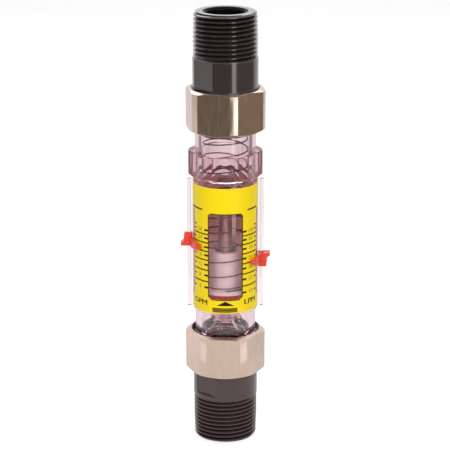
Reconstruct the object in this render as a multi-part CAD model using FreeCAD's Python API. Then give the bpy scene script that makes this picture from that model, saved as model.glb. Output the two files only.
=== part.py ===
import FreeCAD, Part
import math
import os

# In-line variable area flow meter, standing on its inlet end.
# The origin is the centre of the inlet's end face. +Z runs along the flow, and -Y is the scale side.
# All sizes are in millimetres and all angles in degrees. An azimuth of 0 faces -Y and grows towards +X.

# Taper pipe thread of the two end fittings, nominal 3/4 inch with 14 turns to the inch
thread_length = 19.0
thread_small_radius = 13.015
thread_full_radius = 13.335
thread_taper_per_mm = 1 / 32
thread_end_chamfer = 0.8
thread_pitch = 25.4 / 14
thread_depth = 1.25
thread_crest_width = 0.2
thread_root_width = 0.15

# End fittings
flow_bore_radius = 8.3
mouth_radius = 9.5
mouth_chamfer_depth = 1.2
barrel_radius = 13.55
lower_barrel_exposed = 11.3
upper_barrel_exposed = 12.45
wrench_flat_distance = 12.45
lower_flat_start = 20.9
flat_under_nut = 1.0
lower_flat_azimuth = -41.0
upper_flat_azimuth = -46.0
fitting_flange_radius = 14.05
fitting_flange_thickness = 2.75
fitting_inner_edge_chamfer = 0.5

# Union nuts
nut_length = 17.9
nut_across_flats = 30.6
nut_corner_radius = 16.8
nut_lip_thickness = 3.0
nut_lip_chamfer_width = 1.6
nut_lip_chamfer_height = 0.75
nut_mouth_chamfer_width = 2.4
nut_mouth_chamfer_height = 1.4
lower_nut_corner_azimuth = 27.0
upper_nut_corner_azimuth = 12.0

# Face seals between the fittings and the body
seal_inner_radius = 11.4
seal_width = 2.0
seal_height = 1.35
seal_edge_radius = 0.5

# Clear meter body
body_length = 110.65
body_thread_length = 10.0
body_neck_radius = 12.65
body_bore_radius = 10.1
barrel_start = 21.7
body_barrel_length = 56.4
body_barrel_radius = 13.4
body_edge_radius = 0.4
groove_width = 0.7
collar_length = 11.4
collar_radius = 15.45
collar_across_flats = 28.8
collar_under_slope = 1.6
collar_corner_azimuth = 30.0
pocket_radius = 11.0
lower_pocket_depth = 10.8
upper_pocket_depth = 12.15

# Rails at the two sides of the body, for the set pointers
rail_web_width = 0.9
rail_head_width = 2.2
rail_head_inner = 14.5
rail_head_outer = 15.95
rail_top_margin = 0.3
rail_root_depth = 0.5

# Scale labels
label_thickness = 0.2
label_length = 55.0
label_rise = 0.7
label_edge_azimuth = 87.0
label_waist_azimuth = 75.7
label_waist_bottom = 9.0
label_waist_top = 46.5
window_width = 13.7
window_bottom = 6.9
window_height = 36.4
window_corner_radius = 0.6

# Cone carrier in the inlet neck
carrier_ring_height = 5.8
carrier_flange_height = 2.9
carrier_ring_wall = 1.5
carrier_leg_count = 4
carrier_leg_width = 1.6
carrier_leg_azimuth = 40.0
carrier_leg_root_depth = 1.0
carrier_leg_root_wall = 1.2
carrier_leg_hub_depth = 1.6
carrier_leg_hub_height = 2.0
carrier_hub_radius = 6.1
carrier_hub_height = 8.9
carrier_leg_rise = 3.2

# Metering cone
cone_flange_radius = 6.8
cone_flange_height = 2.0
cone_base_radius = 4.05
cone_tip_radius = 1.95
stud_radius = 1.5
stud_length = 2.6

# Screw that holds the cone on its carrier
screw_radius = 1.5
screw_thread_length = 9.0
screw_head_radius = 2.75
screw_head_height = 1.7
screw_recess_across_flats = 2.5
screw_recess_depth = 1.1

# Piston
piston_gap = 0.1
orifice_radius = 4.25
orifice_edge_height = 0.3
orifice_plate_thickness = 1.0
orifice_plate_radius = 8.6
indicator_height = 1.9
indicator_wall = 1.4
piston_flange_thickness = 1.6
sleeve_outer_radius = 7.0
sleeve_wall = 1.1
sleeve_length = 15.8
sleeve_lip_radius = 4.7
sleeve_lip_thickness = 1.2
sleeve_slot_count = 2
sleeve_slot_width = 3.0
sleeve_slot_height = 4.0
sleeve_slot_rise = 9.0
sleeve_slot_azimuth = 90.0
piston_travel = 30.0

# Stop at the tip of the cone
stop_gap = 0.1
stop_radius = 5.35
stop_rim_height = 1.0
stop_dome_height = 2.2

# Return spring
wire_diameter = 0.55
spring_mean_radius = 9.15
closed_pitch = 0.9
spring_turns = 13.0
lower_closed_turns = 0.9
lower_ramp_turns = 0.6
upper_closed_turns = 0.8
upper_ramp_turns = 2.2
path_points_per_turn = 16
spring_end_gap = 0.05

# Spring seat in the outlet neck
seat_inner_radius = 8.1
seat_thickness = 1.4
seat_lip_height = 0.9
seat_lip_gap = 0.25
seat_lip_wall = 0.5

# Snap rings that hold the carrier and the spring seat
snap_ring_thickness = 0.9
snap_ring_depth = 0.6
snap_ring_width = 1.5
snap_ring_gap_angle = 44.0
snap_groove_clearance = 0.05

# Set pointers, one on each rail
pointer_clearance = 0.1
pointer_half_height = 2.9
pointer_half_width = 2.2
pointer_outer = 17.5
pointer_inner = 13.75
pointer_top_slope = 0.3
pointer_foot_outer = 18.7
pointer_foot_height = 0.9
pointer_foot_slope = 1.0
pointer_back_bevel_start = -0.6
pointer_back_bevel_drop = 1.4
pointer_arm_gap = 0.3
pointer_arm_thickness = 1.1
pointer_arm_overlap = 1.2
pointer_arm_top = 1.0
pointer_arm_bend_out = 12.0
pointer_arm_bend_level = 0.1
pointer_arm_tip_out = 10.3
pointer_arm_tip_level = -1.25
pointer_arm_heel_out = 10.8
pointer_arm_heel_level = -2.3
left_pointer_height = 88.0
right_pointer_height = 78.85

# Running fits
nut_thread_clearance = 0.05
nut_lip_clearance = 0.1
nut_face_gap = 0.05
pocket_clearance = 0.05

# How far a cutting block reaches past the surface that it cuts
cut_overrun = 1.0

# Heights that follow from the sizes above
lower_fitting_length = (thread_length + lower_barrel_exposed + nut_lip_thickness + nut_face_gap
                        + fitting_flange_thickness)
upper_fitting_length = (thread_length + upper_barrel_exposed + nut_lip_thickness + nut_face_gap
                        + fitting_flange_thickness)
body_bottom = lower_fitting_length
body_top = body_bottom + body_length
meter_top = body_top + upper_fitting_length
lower_nut_bottom = thread_length + lower_barrel_exposed
upper_nut_top = meter_top - thread_length - upper_barrel_exposed
barrel_bottom = body_bottom + barrel_start
barrel_top = barrel_bottom + body_barrel_length
collar_bottom = barrel_top + groove_width
collar_top = collar_bottom + collar_length
label_bottom = barrel_bottom + label_rise
lower_pocket_ledge = body_bottom + lower_pocket_depth
upper_pocket_ledge = body_top - upper_pocket_depth
carrier_bottom = lower_pocket_ledge - carrier_flange_height
carrier_ring_top = carrier_bottom + carrier_ring_height
hub_bottom = carrier_ring_top + carrier_leg_rise
hub_top = hub_bottom + carrier_hub_height
piston_bottom = hub_top + cone_flange_height
piston_flange_bottom = piston_bottom + indicator_height
piston_flange_top = piston_flange_bottom + piston_flange_thickness
sleeve_top = piston_flange_top + sleeve_length
stop_bottom = sleeve_top + piston_travel + stop_gap
nut_bore_radius = fitting_flange_radius + nut_lip_clearance
nut_lip_radius = barrel_radius + nut_lip_clearance
body_thread_radius = nut_bore_radius - nut_thread_clearance
piston_radius = body_bore_radius - piston_gap
label_radius = body_barrel_radius + label_thickness


def point(x, y, z):
    return FreeCAD.Vector(x, y, z)


AXIS = point(0, 0, 1)
CENTRE = point(0, 0, 0)


def turned(corners, sweep=360.0, start_azimuth=0.0):
    """Solid turned about Z from its (radius, height) corners, from an azimuth onwards."""
    outline = [point(radius, 0, height) for radius, height in corners]
    face = Part.Face(Part.makePolygon(outline + outline[:1]))
    solid = face.revolve(CENTRE, AXIS, sweep)
    solid.rotate(CENTRE, AXIS, start_azimuth - 90)
    return solid


def tube(outer_radius, inner_radius, bottom, top):
    return turned([(inner_radius, bottom), (outer_radius, bottom), (outer_radius, top), (inner_radius, top)])


def block(x_range, y_range, z_range):
    """Box between the low and high value of each axis."""
    size = [high - low for low, high in (x_range, y_range, z_range)]
    return Part.makeBox(*size, point(x_range[0], y_range[0], z_range[0]))


def at_azimuth(solid, azimuth):
    """Copy of a solid made on the -Y side, turned to an azimuth."""
    turned_copy = solid.copy()
    turned_copy.rotate(CENTRE, AXIS, azimuth)
    return turned_copy


def hexagon_prism(across_flats, bottom, top, corner_azimuth):
    corner = across_flats / 2 / math.cos(math.radians(30))
    angles = [math.radians(corner_azimuth - 90 + 60 * index) for index in range(7)]
    outline = [point(corner * math.cos(angle), corner * math.sin(angle), bottom) for angle in angles]
    return Part.Face(Part.makePolygon(outline)).extrude(point(0, 0, top - bottom))


def thread_crest_radius(height):
    return min(thread_small_radius + height * thread_taper_per_mm, thread_full_radius)


def thread_outline():
    """Corners of the thread from its end upwards: one groove a pitch, cut as rings without their rise."""
    corners = []
    for turn in range(int((thread_length - thread_end_chamfer) / thread_pitch)):
        low = thread_end_chamfer + turn * thread_pitch
        high = low + thread_pitch - thread_crest_width
        middle = (low + high) / 2
        root_radius = thread_crest_radius(middle) - thread_depth
        corners += [
            (thread_crest_radius(low), low),
            (root_radius, middle - thread_root_width / 2),
            (root_radius, middle + thread_root_width / 2),
            (thread_crest_radius(high), high),
        ]
    return corners


def fitting(length, flat_start, flat_end, flat_azimuth):
    """Pipe end fitting with its threaded end down, its end face at z = 0 and its flange on top."""
    flange_bottom = length - fitting_flange_thickness
    seal_outer = seal_inner_radius + seal_width
    solid = turned([
        (mouth_radius, 0),
        (thread_small_radius - thread_end_chamfer, 0),
        *thread_outline(),
        (thread_full_radius, thread_length),
        (barrel_radius, thread_length),
        (barrel_radius, flange_bottom),
        (fitting_flange_radius, flange_bottom),
        (fitting_flange_radius, length),
        (seal_outer, length),
        (seal_outer, length - seal_height),
        (seal_inner_radius, length - seal_height),
        (seal_inner_radius, length),
        (flow_bore_radius + fitting_inner_edge_chamfer, length),
        (flow_bore_radius, length - fitting_inner_edge_chamfer),
        (flow_bore_radius, mouth_chamfer_depth),
    ])
    outside = block((-barrel_radius, barrel_radius), (-barrel_radius - cut_overrun, -wrench_flat_distance),
                    (flat_start, flat_end))
    for azimuth in (flat_azimuth, flat_azimuth + 180):
        solid = solid.cut(at_azimuth(outside, azimuth))
    return solid


def lower_fitting():
    flat_end = lower_nut_bottom + flat_under_nut
    return fitting(lower_fitting_length, lower_flat_start, flat_end, lower_flat_azimuth)


def upper_fitting():
    flat_end = meter_top - upper_nut_top + flat_under_nut
    solid = fitting(upper_fitting_length, thread_length, flat_end, -upper_flat_azimuth)
    solid.rotate(CENTRE, point(0, 1, 0), 180)
    solid.translate(point(0, 0, meter_top))
    return solid


def union_nut(corner_azimuth):
    """Union nut with its lip down and its mouth up, from z = 0."""
    blank = turned([
        (nut_lip_radius, 0),
        (nut_corner_radius - nut_lip_chamfer_width, 0),
        (nut_corner_radius, nut_lip_chamfer_height),
        (nut_corner_radius, nut_length - nut_mouth_chamfer_height),
        (nut_corner_radius - nut_mouth_chamfer_width, nut_length),
        (nut_bore_radius, nut_length),
        (nut_bore_radius, nut_lip_thickness),
        (nut_lip_radius, nut_lip_thickness),
    ])
    return blank.common(hexagon_prism(nut_across_flats, 0, nut_length, corner_azimuth))


def lower_union_nut():
    solid = union_nut(lower_nut_corner_azimuth)
    solid.translate(point(0, 0, lower_nut_bottom))
    return solid


def upper_union_nut():
    solid = union_nut(-upper_nut_corner_azimuth)
    solid.rotate(CENTRE, point(0, 1, 0), 180)
    solid.translate(point(0, 0, upper_nut_top))
    return solid


def seal_ring(bottom):
    """Soft ring squeezed into its groove, with rounded edges."""
    inner = seal_inner_radius
    outer = seal_inner_radius + seal_width
    ring = tube(outer, inner, bottom, bottom + seal_height)
    return ring.makeFillet(seal_edge_radius, [edge for edge in ring.Edges if edge.Closed])


def lower_seal_ring():
    return seal_ring(body_bottom - seal_height)


def upper_seal_ring():
    return seal_ring(body_top)


def collar():
    """Wrench collar: a turned flange with six flats, sloped underneath."""
    blank = turned([
        (0, collar_bottom),
        (body_neck_radius, collar_bottom),
        (collar_radius, collar_bottom + collar_under_slope),
        (collar_radius, collar_top),
        (0, collar_top),
    ])
    flats = hexagon_prism(collar_across_flats, collar_bottom, collar_top, collar_corner_azimuth)
    return blank.common(flats)


def rail():
    """Rail of T section on the -Y side of the body."""
    root = rail_root_depth - body_barrel_radius
    z_range = (barrel_bottom, barrel_top - rail_top_margin)
    web = block((-rail_web_width / 2, rail_web_width / 2), (-rail_head_inner, root), z_range)
    head = block((-rail_head_width / 2, rail_head_width / 2), (-rail_head_outer, -rail_head_inner), z_range)
    return web.fuse(head)


def meter_body():
    lower_groove = carrier_bottom - snap_ring_thickness - snap_groove_clearance
    upper_groove = upper_pocket_ledge + seat_thickness
    groove_radius = pocket_radius + snap_ring_depth + snap_groove_clearance
    groove_height = snap_ring_thickness + snap_groove_clearance
    outside = turned([
        (0, body_bottom),
        (body_thread_radius, body_bottom),
        (body_thread_radius, body_bottom + body_thread_length),
        (body_neck_radius, body_bottom + body_thread_length),
        (body_neck_radius, barrel_bottom),
        (body_barrel_radius - body_edge_radius, barrel_bottom),
        (body_barrel_radius, barrel_bottom + body_edge_radius),
        (body_barrel_radius, barrel_top - body_edge_radius),
        (body_barrel_radius - body_edge_radius, barrel_top),
        (body_neck_radius, barrel_top),
        (body_neck_radius, body_top - body_thread_length),
        (body_thread_radius, body_top - body_thread_length),
        (body_thread_radius, body_top),
        (0, body_top),
    ])
    solid = outside.fuse(collar())
    for azimuth in (90, -90):
        solid = solid.fuse(at_azimuth(rail(), azimuth))
    passage = turned([
        (0, body_bottom),
        (pocket_radius, body_bottom),
        (pocket_radius, lower_groove),
        (groove_radius, lower_groove),
        (groove_radius, lower_groove + groove_height),
        (pocket_radius, lower_groove + groove_height),
        (pocket_radius, lower_pocket_ledge),
        (body_bore_radius, lower_pocket_ledge),
        (body_bore_radius, upper_pocket_ledge),
        (pocket_radius, upper_pocket_ledge),
        (pocket_radius, upper_groove),
        (groove_radius, upper_groove),
        (groove_radius, upper_groove + groove_height),
        (pocket_radius, upper_groove + groove_height),
        (pocket_radius, body_top),
        (0, body_top),
    ])
    return solid.cut(passage).removeSplitter()


def label_band(half_azimuth, bottom, top):
    inner = body_barrel_radius
    ring = [(inner, bottom), (label_radius, bottom), (label_radius, top), (inner, top)]
    return turned(ring, 2 * half_azimuth, -half_azimuth)


def scale_label():
    """Front label: wide at its ends, with a waist beside the pointers and a window in the middle."""
    waist_bottom = label_bottom + label_waist_bottom
    waist_top = label_bottom + label_waist_top
    label_top = label_bottom + label_length
    solid = label_band(label_edge_azimuth, label_bottom, waist_bottom)
    solid = solid.fuse(label_band(label_waist_azimuth, waist_bottom, waist_top))
    solid = solid.fuse(label_band(label_edge_azimuth, waist_top, label_top))
    low = label_bottom + window_bottom
    window = block((-window_width / 2, window_width / 2), (-label_radius - cut_overrun, 0),
                   (low, low + window_height))
    corners = [edge for edge in window.Edges if abs(edge.tangentAt(0).y) > 0.9]
    window = window.makeFillet(window_corner_radius, corners)
    return solid.cut(window).removeSplitter()


def rear_label():
    ring = label_band(label_edge_azimuth, label_bottom, label_bottom + label_length)
    return at_azimuth(ring, 180)


def cone_carrier():
    """Ring in the inlet neck whose legs lean in to a hub, all moulded as one."""
    ring_inner = body_bore_radius - pocket_clearance - carrier_ring_wall
    ring_outer = body_bore_radius - pocket_clearance
    solid = turned([
        (ring_inner, carrier_bottom),
        (pocket_radius - pocket_clearance, carrier_bottom),
        (pocket_radius - pocket_clearance, lower_pocket_ledge),
        (ring_outer, lower_pocket_ledge),
        (ring_outer, carrier_ring_top),
        (ring_inner, carrier_ring_top),
    ])
    hub = turned([(screw_radius, hub_bottom), (carrier_hub_radius, hub_bottom), (carrier_hub_radius, hub_top),
                  (screw_radius, hub_top)])
    side = -carrier_leg_width / 2
    root_bottom = carrier_ring_top - carrier_leg_root_depth
    root_outer = -ring_inner - carrier_leg_root_wall
    leg_top = hub_bottom + carrier_leg_hub_height
    outline = [
        point(side, root_outer, root_bottom),
        point(side, -ring_inner, root_bottom),
        point(side, carrier_leg_hub_depth - carrier_hub_radius, hub_bottom),
        point(side, carrier_leg_hub_depth - carrier_hub_radius, leg_top),
        point(side, -carrier_hub_radius, leg_top),
        point(side, root_outer, carrier_ring_top),
    ]
    leg = Part.Face(Part.makePolygon(outline + outline[:1])).extrude(point(carrier_leg_width, 0, 0))
    for index in range(carrier_leg_count):
        azimuth = carrier_leg_azimuth + 360 / carrier_leg_count * index
        solid = solid.fuse(at_azimuth(leg, azimuth))
    return solid.fuse(hub).removeSplitter()


def metering_cone():
    """Tapered pin on a flange, with a threaded hole below and a stud for the stop on top."""
    screw_hole_top = hub_top + screw_thread_length
    return turned([
        (screw_radius, hub_top),
        (cone_flange_radius, hub_top),
        (cone_flange_radius, piston_bottom),
        (cone_base_radius, piston_bottom),
        (cone_tip_radius, stop_bottom),
        (stud_radius, stop_bottom),
        (stud_radius, stop_bottom + stud_length),
        (0, stop_bottom + stud_length),
        (0, screw_hole_top),
        (screw_radius, screw_hole_top),
    ])


def cone_screw():
    """Socket head screw, up through the hub into the cone."""
    shank = turned([
        (0, hub_bottom - screw_head_height),
        (screw_head_radius, hub_bottom - screw_head_height),
        (screw_head_radius, hub_bottom),
        (screw_radius, hub_bottom),
        (screw_radius, hub_top + screw_thread_length),
        (0, hub_top + screw_thread_length),
    ])
    head_bottom = hub_bottom - screw_head_height
    recess = hexagon_prism(screw_recess_across_flats, head_bottom, head_bottom + screw_recess_depth, 0)
    return shank.cut(recess)


def orifice_plate():
    """Metal disc at the foot of the piston, with a sharp edge round its hole."""
    bevel = orifice_plate_thickness - orifice_edge_height
    return turned([
        (orifice_radius, piston_bottom),
        (orifice_plate_radius, piston_bottom),
        (orifice_plate_radius, piston_bottom + orifice_plate_thickness),
        (orifice_radius + bevel, piston_bottom + orifice_plate_thickness),
        (orifice_radius, piston_bottom + orifice_edge_height),
    ])


def indicator_ring():
    """Red ring round the foot of the piston, read against the scale."""
    inner = piston_radius - indicator_wall
    return tube(piston_radius, inner, piston_bottom, piston_flange_bottom)


def piston():
    """Flanged sleeve with flow slots, and a lip on top that meets the stop."""
    plate_top = piston_bottom + orifice_plate_thickness
    foot_radius = piston_radius - indicator_wall
    sleeve_inner = sleeve_outer_radius - sleeve_wall
    solid = turned([
        (sleeve_inner, plate_top),
        (foot_radius, plate_top),
        (foot_radius, piston_flange_bottom),
        (piston_radius, piston_flange_bottom),
        (piston_radius, piston_flange_top),
        (sleeve_outer_radius, piston_flange_top),
        (sleeve_outer_radius, sleeve_top),
        (sleeve_lip_radius, sleeve_top),
        (sleeve_lip_radius, sleeve_top - sleeve_lip_thickness),
        (sleeve_inner, sleeve_top - sleeve_lip_thickness - (sleeve_inner - sleeve_lip_radius)),
    ])
    low = piston_flange_top + sleeve_slot_rise
    slot = block((-sleeve_slot_width / 2, sleeve_slot_width / 2),
                 (-sleeve_outer_radius - cut_overrun, -sleeve_lip_radius), (low, low + sleeve_slot_height))
    for index in range(sleeve_slot_count):
        solid = solid.cut(at_azimuth(slot, sleeve_slot_azimuth + 360 / sleeve_slot_count * index))
    return solid


def travel_stop():
    """Domed cap on the cone's stud."""
    rim_top = stop_bottom + stop_rim_height
    dome_top = rim_top + stop_dome_height
    dome_radius = (stop_radius ** 2 + stop_dome_height ** 2) / (2 * stop_dome_height)
    half_angle = math.asin(stop_radius / dome_radius) / 2
    dome_start = point(stop_radius, 0, rim_top)
    middle_drop = dome_radius * (1 - math.cos(half_angle))
    dome_middle = point(dome_radius * math.sin(half_angle), 0, dome_top - middle_drop)
    dome_end = point(0, 0, dome_top)
    stud_top = stop_bottom + stud_length
    edges = [
        Part.LineSegment(point(stud_radius, 0, stop_bottom), point(stop_radius, 0, stop_bottom)).toShape(),
        Part.LineSegment(point(stop_radius, 0, stop_bottom), dome_start).toShape(),
        Part.Arc(dome_start, dome_middle, dome_end).toShape(),
        Part.LineSegment(dome_end, point(0, 0, stud_top)).toShape(),
        Part.LineSegment(point(0, 0, stud_top), point(stud_radius, 0, stud_top)).toShape(),
        Part.LineSegment(point(stud_radius, 0, stud_top), point(stud_radius, 0, stop_bottom)).toShape(),
    ]
    return Part.Face(Part.Wire(edges)).revolve(CENTRE, AXIS, 360)


def spring_path_points():
    """Centre line of the wire: closed turns at both ends and an even pitch between them."""
    height = upper_pocket_ledge - piston_flange_top - wire_diameter - 2 * spring_end_gap
    lower_ramp_end = lower_closed_turns + lower_ramp_turns
    upper_ramp_start = spring_turns - upper_closed_turns - upper_ramp_turns
    open_turns = upper_ramp_start - lower_ramp_end + (lower_ramp_turns + upper_ramp_turns) / 2
    open_pitch = (height - closed_pitch * (spring_turns - open_turns)) / open_turns

    def pitch_at(turn):
        rise = (turn - lower_closed_turns) / lower_ramp_turns
        fall = (spring_turns - upper_closed_turns - turn) / upper_ramp_turns
        share = max(0.0, min(1.0, rise, fall))
        return closed_pitch + (open_pitch - closed_pitch) * share

    steps = int(spring_turns * path_points_per_turn)
    step = spring_turns / steps
    radius = spring_mean_radius
    level = piston_flange_top + spring_end_gap + wire_diameter / 2
    points = []
    for index in range(steps + 1):
        angle = 2 * math.pi * index * step - math.pi / 2
        points.append(point(radius * math.cos(angle), radius * math.sin(angle), level))
        level += pitch_at((index + 0.5) * step) * step
    return points


def return_spring():
    curve = Part.BSplineCurve()
    curve.interpolate(spring_path_points())
    path = Part.Wire([curve.toShape()])
    start = curve.value(curve.FirstParameter)
    direction = curve.tangent(curve.FirstParameter)[0]
    section = Part.Wire([Part.makeCircle(wire_diameter / 2, start, direction)])
    return path.makePipeShell([section], True, True)


def spring_seat():
    """Ring across the outlet neck that the spring's top turn bears on, with a lip inside the spring."""
    lip_outer = spring_mean_radius - wire_diameter / 2 - seat_lip_gap
    return turned([
        (seat_inner_radius, upper_pocket_ledge - seat_lip_height),
        (lip_outer, upper_pocket_ledge - seat_lip_height),
        (lip_outer, upper_pocket_ledge),
        (pocket_radius - pocket_clearance, upper_pocket_ledge),
        (pocket_radius - pocket_clearance, upper_pocket_ledge + seat_thickness),
        (seat_inner_radius, upper_pocket_ledge + seat_thickness),
    ])


def snap_ring(bottom):
    """Open ring sprung into its groove, with its gap at the back."""
    outer = pocket_radius + snap_ring_depth
    inner = outer - snap_ring_width
    ring = [(inner, bottom), (outer, bottom), (outer, bottom + snap_ring_thickness),
            (inner, bottom + snap_ring_thickness)]
    return turned(ring, 360 - snap_ring_gap_angle, 180 + snap_ring_gap_angle / 2)


def carrier_snap_ring():
    return snap_ring(carrier_bottom - snap_ring_thickness)


def seat_snap_ring():
    return snap_ring(upper_pocket_ledge + seat_thickness)


def pointer_back_bevel():
    """Waste behind the clip's upper end, where the moulding slopes away."""
    high = pointer_half_height
    low = high - pointer_back_bevel_drop
    start = -pointer_inner + cut_overrun
    back = pointer_half_width + cut_overrun
    outline = [
        point(start, pointer_back_bevel_start, high),
        point(start, pointer_half_width, low),
        point(start, back, low),
        point(start, back, high + cut_overrun),
        point(start, pointer_back_bevel_start, high + cut_overrun),
    ]
    reach = pointer_foot_outer - pointer_inner + 2 * cut_overrun
    return Part.Face(Part.makePolygon(outline + outline[:1])).extrude(point(-reach, 0, 0))


def pointer():
    """Set pointer for the -X rail, centred on z = 0: a clip round the rail and an arm to the scale."""
    side = pointer_half_width
    high = pointer_half_height
    outline = [
        point(-pointer_inner, -side, high),
        point(pointer_top_slope - pointer_outer, -side, high),
        point(-pointer_outer, -side, pointer_foot_height + pointer_foot_slope - high),
        point(-pointer_foot_outer, -side, pointer_foot_height - high),
        point(-pointer_foot_outer, -side, -high),
        point(-pointer_inner, -side, -high),
    ]
    clip = Part.Face(Part.makePolygon(outline + outline[:1])).extrude(point(0, 2 * side, 0))
    clip = clip.cut(pointer_back_bevel())
    arm_inner = label_radius + pointer_arm_gap
    arm_outer = arm_inner + pointer_arm_thickness
    shell = tube(arm_outer, arm_inner, -high, high)
    arm_root = -pointer_inner - pointer_arm_overlap
    arm_outline = [
        point(arm_root, 0, pointer_arm_top),
        point(-pointer_inner, 0, pointer_arm_top),
        point(-pointer_arm_bend_out, 0, pointer_arm_bend_level),
        point(-pointer_arm_tip_out, 0, pointer_arm_tip_level),
        point(-pointer_arm_heel_out, 0, pointer_arm_heel_level),
        point(-pointer_inner, 0, -high),
        point(arm_root, 0, -high),
    ]
    arm_area = Part.Face(Part.makePolygon(arm_outline + arm_outline[:1])).extrude(point(0, -arm_outer, 0))
    solid = clip.fuse(shell.common(arm_area))
    gap = pointer_clearance
    web_half = rail_web_width / 2 + gap
    head_half = rail_head_width / 2 + gap
    whole_height = (-high, high)
    web_slot = block((-rail_head_inner, -body_barrel_radius), (-web_half, web_half), whole_height)
    head_slot = block((-rail_head_outer - gap, -rail_head_inner + gap), (-head_half, head_half), whole_height)
    return solid.cut(web_slot.fuse(head_slot)).removeSplitter()


def left_pointer():
    solid = pointer()
    solid.translate(point(0, 0, left_pointer_height))
    return solid


def right_pointer():
    """The same moulding, turned upside down for the other rail."""
    solid = pointer()
    solid.rotate(CENTRE, point(0, 1, 0), 180)
    solid.translate(point(0, 0, right_pointer_height))
    return solid


PIECES = [
    lower_fitting, lower_seal_ring, lower_union_nut, meter_body, scale_label, rear_label,
    cone_carrier, carrier_snap_ring, metering_cone, cone_screw, orifice_plate, indicator_ring,
    piston, travel_stop, return_spring, spring_seat, seat_snap_ring, upper_seal_ring,
    upper_union_nut, upper_fitting, left_pointer, right_pointer,
]

os.makedirs("parts", exist_ok=True)
for piece in PIECES:
    shape = piece()
    print(piece.__name__, shape.ShapeType, "valid", shape.isValid(), "solids", len(shape.Solids),
          "volume", round(shape.Volume, 1))
    shape.exportStep("parts/" + piece.__name__ + ".step")
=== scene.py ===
import math

import bmesh
import bpy
from mathutils import Matrix, Vector


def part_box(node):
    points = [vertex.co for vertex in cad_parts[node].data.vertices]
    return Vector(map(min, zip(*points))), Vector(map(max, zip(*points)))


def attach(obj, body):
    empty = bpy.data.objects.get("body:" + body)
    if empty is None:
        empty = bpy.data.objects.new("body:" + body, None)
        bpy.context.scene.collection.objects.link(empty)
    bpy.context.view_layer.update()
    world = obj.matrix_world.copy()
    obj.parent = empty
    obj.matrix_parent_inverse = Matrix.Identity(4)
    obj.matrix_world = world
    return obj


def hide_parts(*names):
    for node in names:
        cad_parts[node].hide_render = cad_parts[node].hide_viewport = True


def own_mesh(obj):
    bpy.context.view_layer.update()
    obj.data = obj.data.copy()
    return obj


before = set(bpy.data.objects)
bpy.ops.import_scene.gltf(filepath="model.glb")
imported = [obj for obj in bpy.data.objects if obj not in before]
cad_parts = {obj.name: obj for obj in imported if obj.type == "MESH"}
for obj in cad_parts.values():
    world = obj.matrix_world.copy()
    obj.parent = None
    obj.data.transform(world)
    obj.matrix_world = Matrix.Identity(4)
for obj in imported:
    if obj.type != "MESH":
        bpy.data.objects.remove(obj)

# The looks of the in-line flow meter. Shapes are made in millimetres and placed in metres by place().
# Heights start at the inlet end face. An azimuth of 0 faces the camera and grows towards +X, in degrees.

MM = 0.001
TURN_STEPS = 144

# The cube, lamp and camera that Blender opens with are no part of the frame
for leftover in ("Cube", "Light", "Camera"):
    if leftover in bpy.data.objects:
        bpy.data.objects.remove(bpy.data.objects[leftover])
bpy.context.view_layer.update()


class Extent:
    """Bottom, top, height and reach of a CAD node in millimetres."""

    def __init__(self, node):
        low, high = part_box(node)
        self.bottom = low[2] / MM
        self.top = high[2] / MM
        self.reach = high[0] / MM
        self.height = self.top - self.bottom


lower_end = Extent("lower_fitting")
upper_end = Extent("upper_fitting")
lower_nut = Extent("lower_union_nut")
upper_nut = Extent("upper_union_nut")
body = Extent("meter_body")
label = Extent("scale_label")

# How far a cutter reaches past what it cuts, at its sides and at the ends of a thread
cutter_margin = 1.0
thread_margin = 0.5

# Pipe ends
pipe_pitch = 25.4 / 14
pipe_thread_length = 19.0
pipe_thread_depth = 1.35
pipe_small_radius = 13.015
pipe_full_radius = 13.335
pipe_taper = 1 / 32
pipe_end_chamfer = 0.8
pipe_barrel_radius = 13.55
pipe_bore_radius = 8.3
pipe_mouth_radius = 9.5
pipe_mouth_depth = 1.2
pipe_flange_radius = 14.05
pipe_flange_thickness = 2.75
wrench_flat_distance = 12.45
lower_flat_azimuth = -41.0
upper_flat_azimuth = -46.0
lower_flat_start = 20.9
flat_under_nut = 1.0
flat_cutter_reach = 14.0
flat_cutter_outside = 16.0
pipe_edge = 0.12
pipe_thread_end_gap = 0.02
pipe_thread_run_out = 0.15
# The painted shade in the pipe threads' grooves starts this far inside each end of the thread
groove_shade_margin = 0.1

# Union nuts
nut_across_flats = 30.6
nut_corner_radius = 16.8
nut_lip_radius = 13.65
nut_bore_radius = 14.15
nut_lip_thickness = 3.0
nut_lip_chamfer = (1.6, 0.75)
nut_mouth_chamfer = (2.4, 1.4)
nut_edge = 0.08
nut_bevel = 0.1
lower_nut_corner_azimuth = 27.0
upper_nut_corner_azimuth = 12.0

# Clear body
body_thread_radius = 14.10
body_thread_length = 10.0
body_thread_pitch = 1.75
body_thread_depth = 0.95
body_thread_overrun = 0.4
body_edge = 0.2
neck_radius = 12.65
barrel_radius = 13.4
barrel_bottom = body.bottom + 21.7
barrel_top = barrel_bottom + 56.4
collar_bottom = barrel_top + 0.7
collar_top = collar_bottom + 11.4
collar_radius = 15.45
collar_across_flats = 28.8
collar_under_slope = 1.6
collar_edge = 0.4
collar_overlap = 0.6
collar_ring_edge = 0.12
collar_corner_azimuth = 30.0
bore_radius = 10.1
pocket_radius = 11.0
groove_radius = 11.65
snap_groove_height = 0.95
lower_groove = body.bottom + 6.95
lower_ledge = body.bottom + 10.8
upper_ledge = body.top - 12.15
upper_groove = upper_ledge + 1.4
rail_bottom = barrel_bottom + 0.25
rail_top = barrel_top - 0.3
rail_edge = 0.35
rail_web_width = 0.9
rail_web_in_head = 0.2
rail_web_in_barrel = 0.5
rail_head_width = 2.2
rail_head_inner = 14.5
rail_head_outer = body.reach

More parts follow.
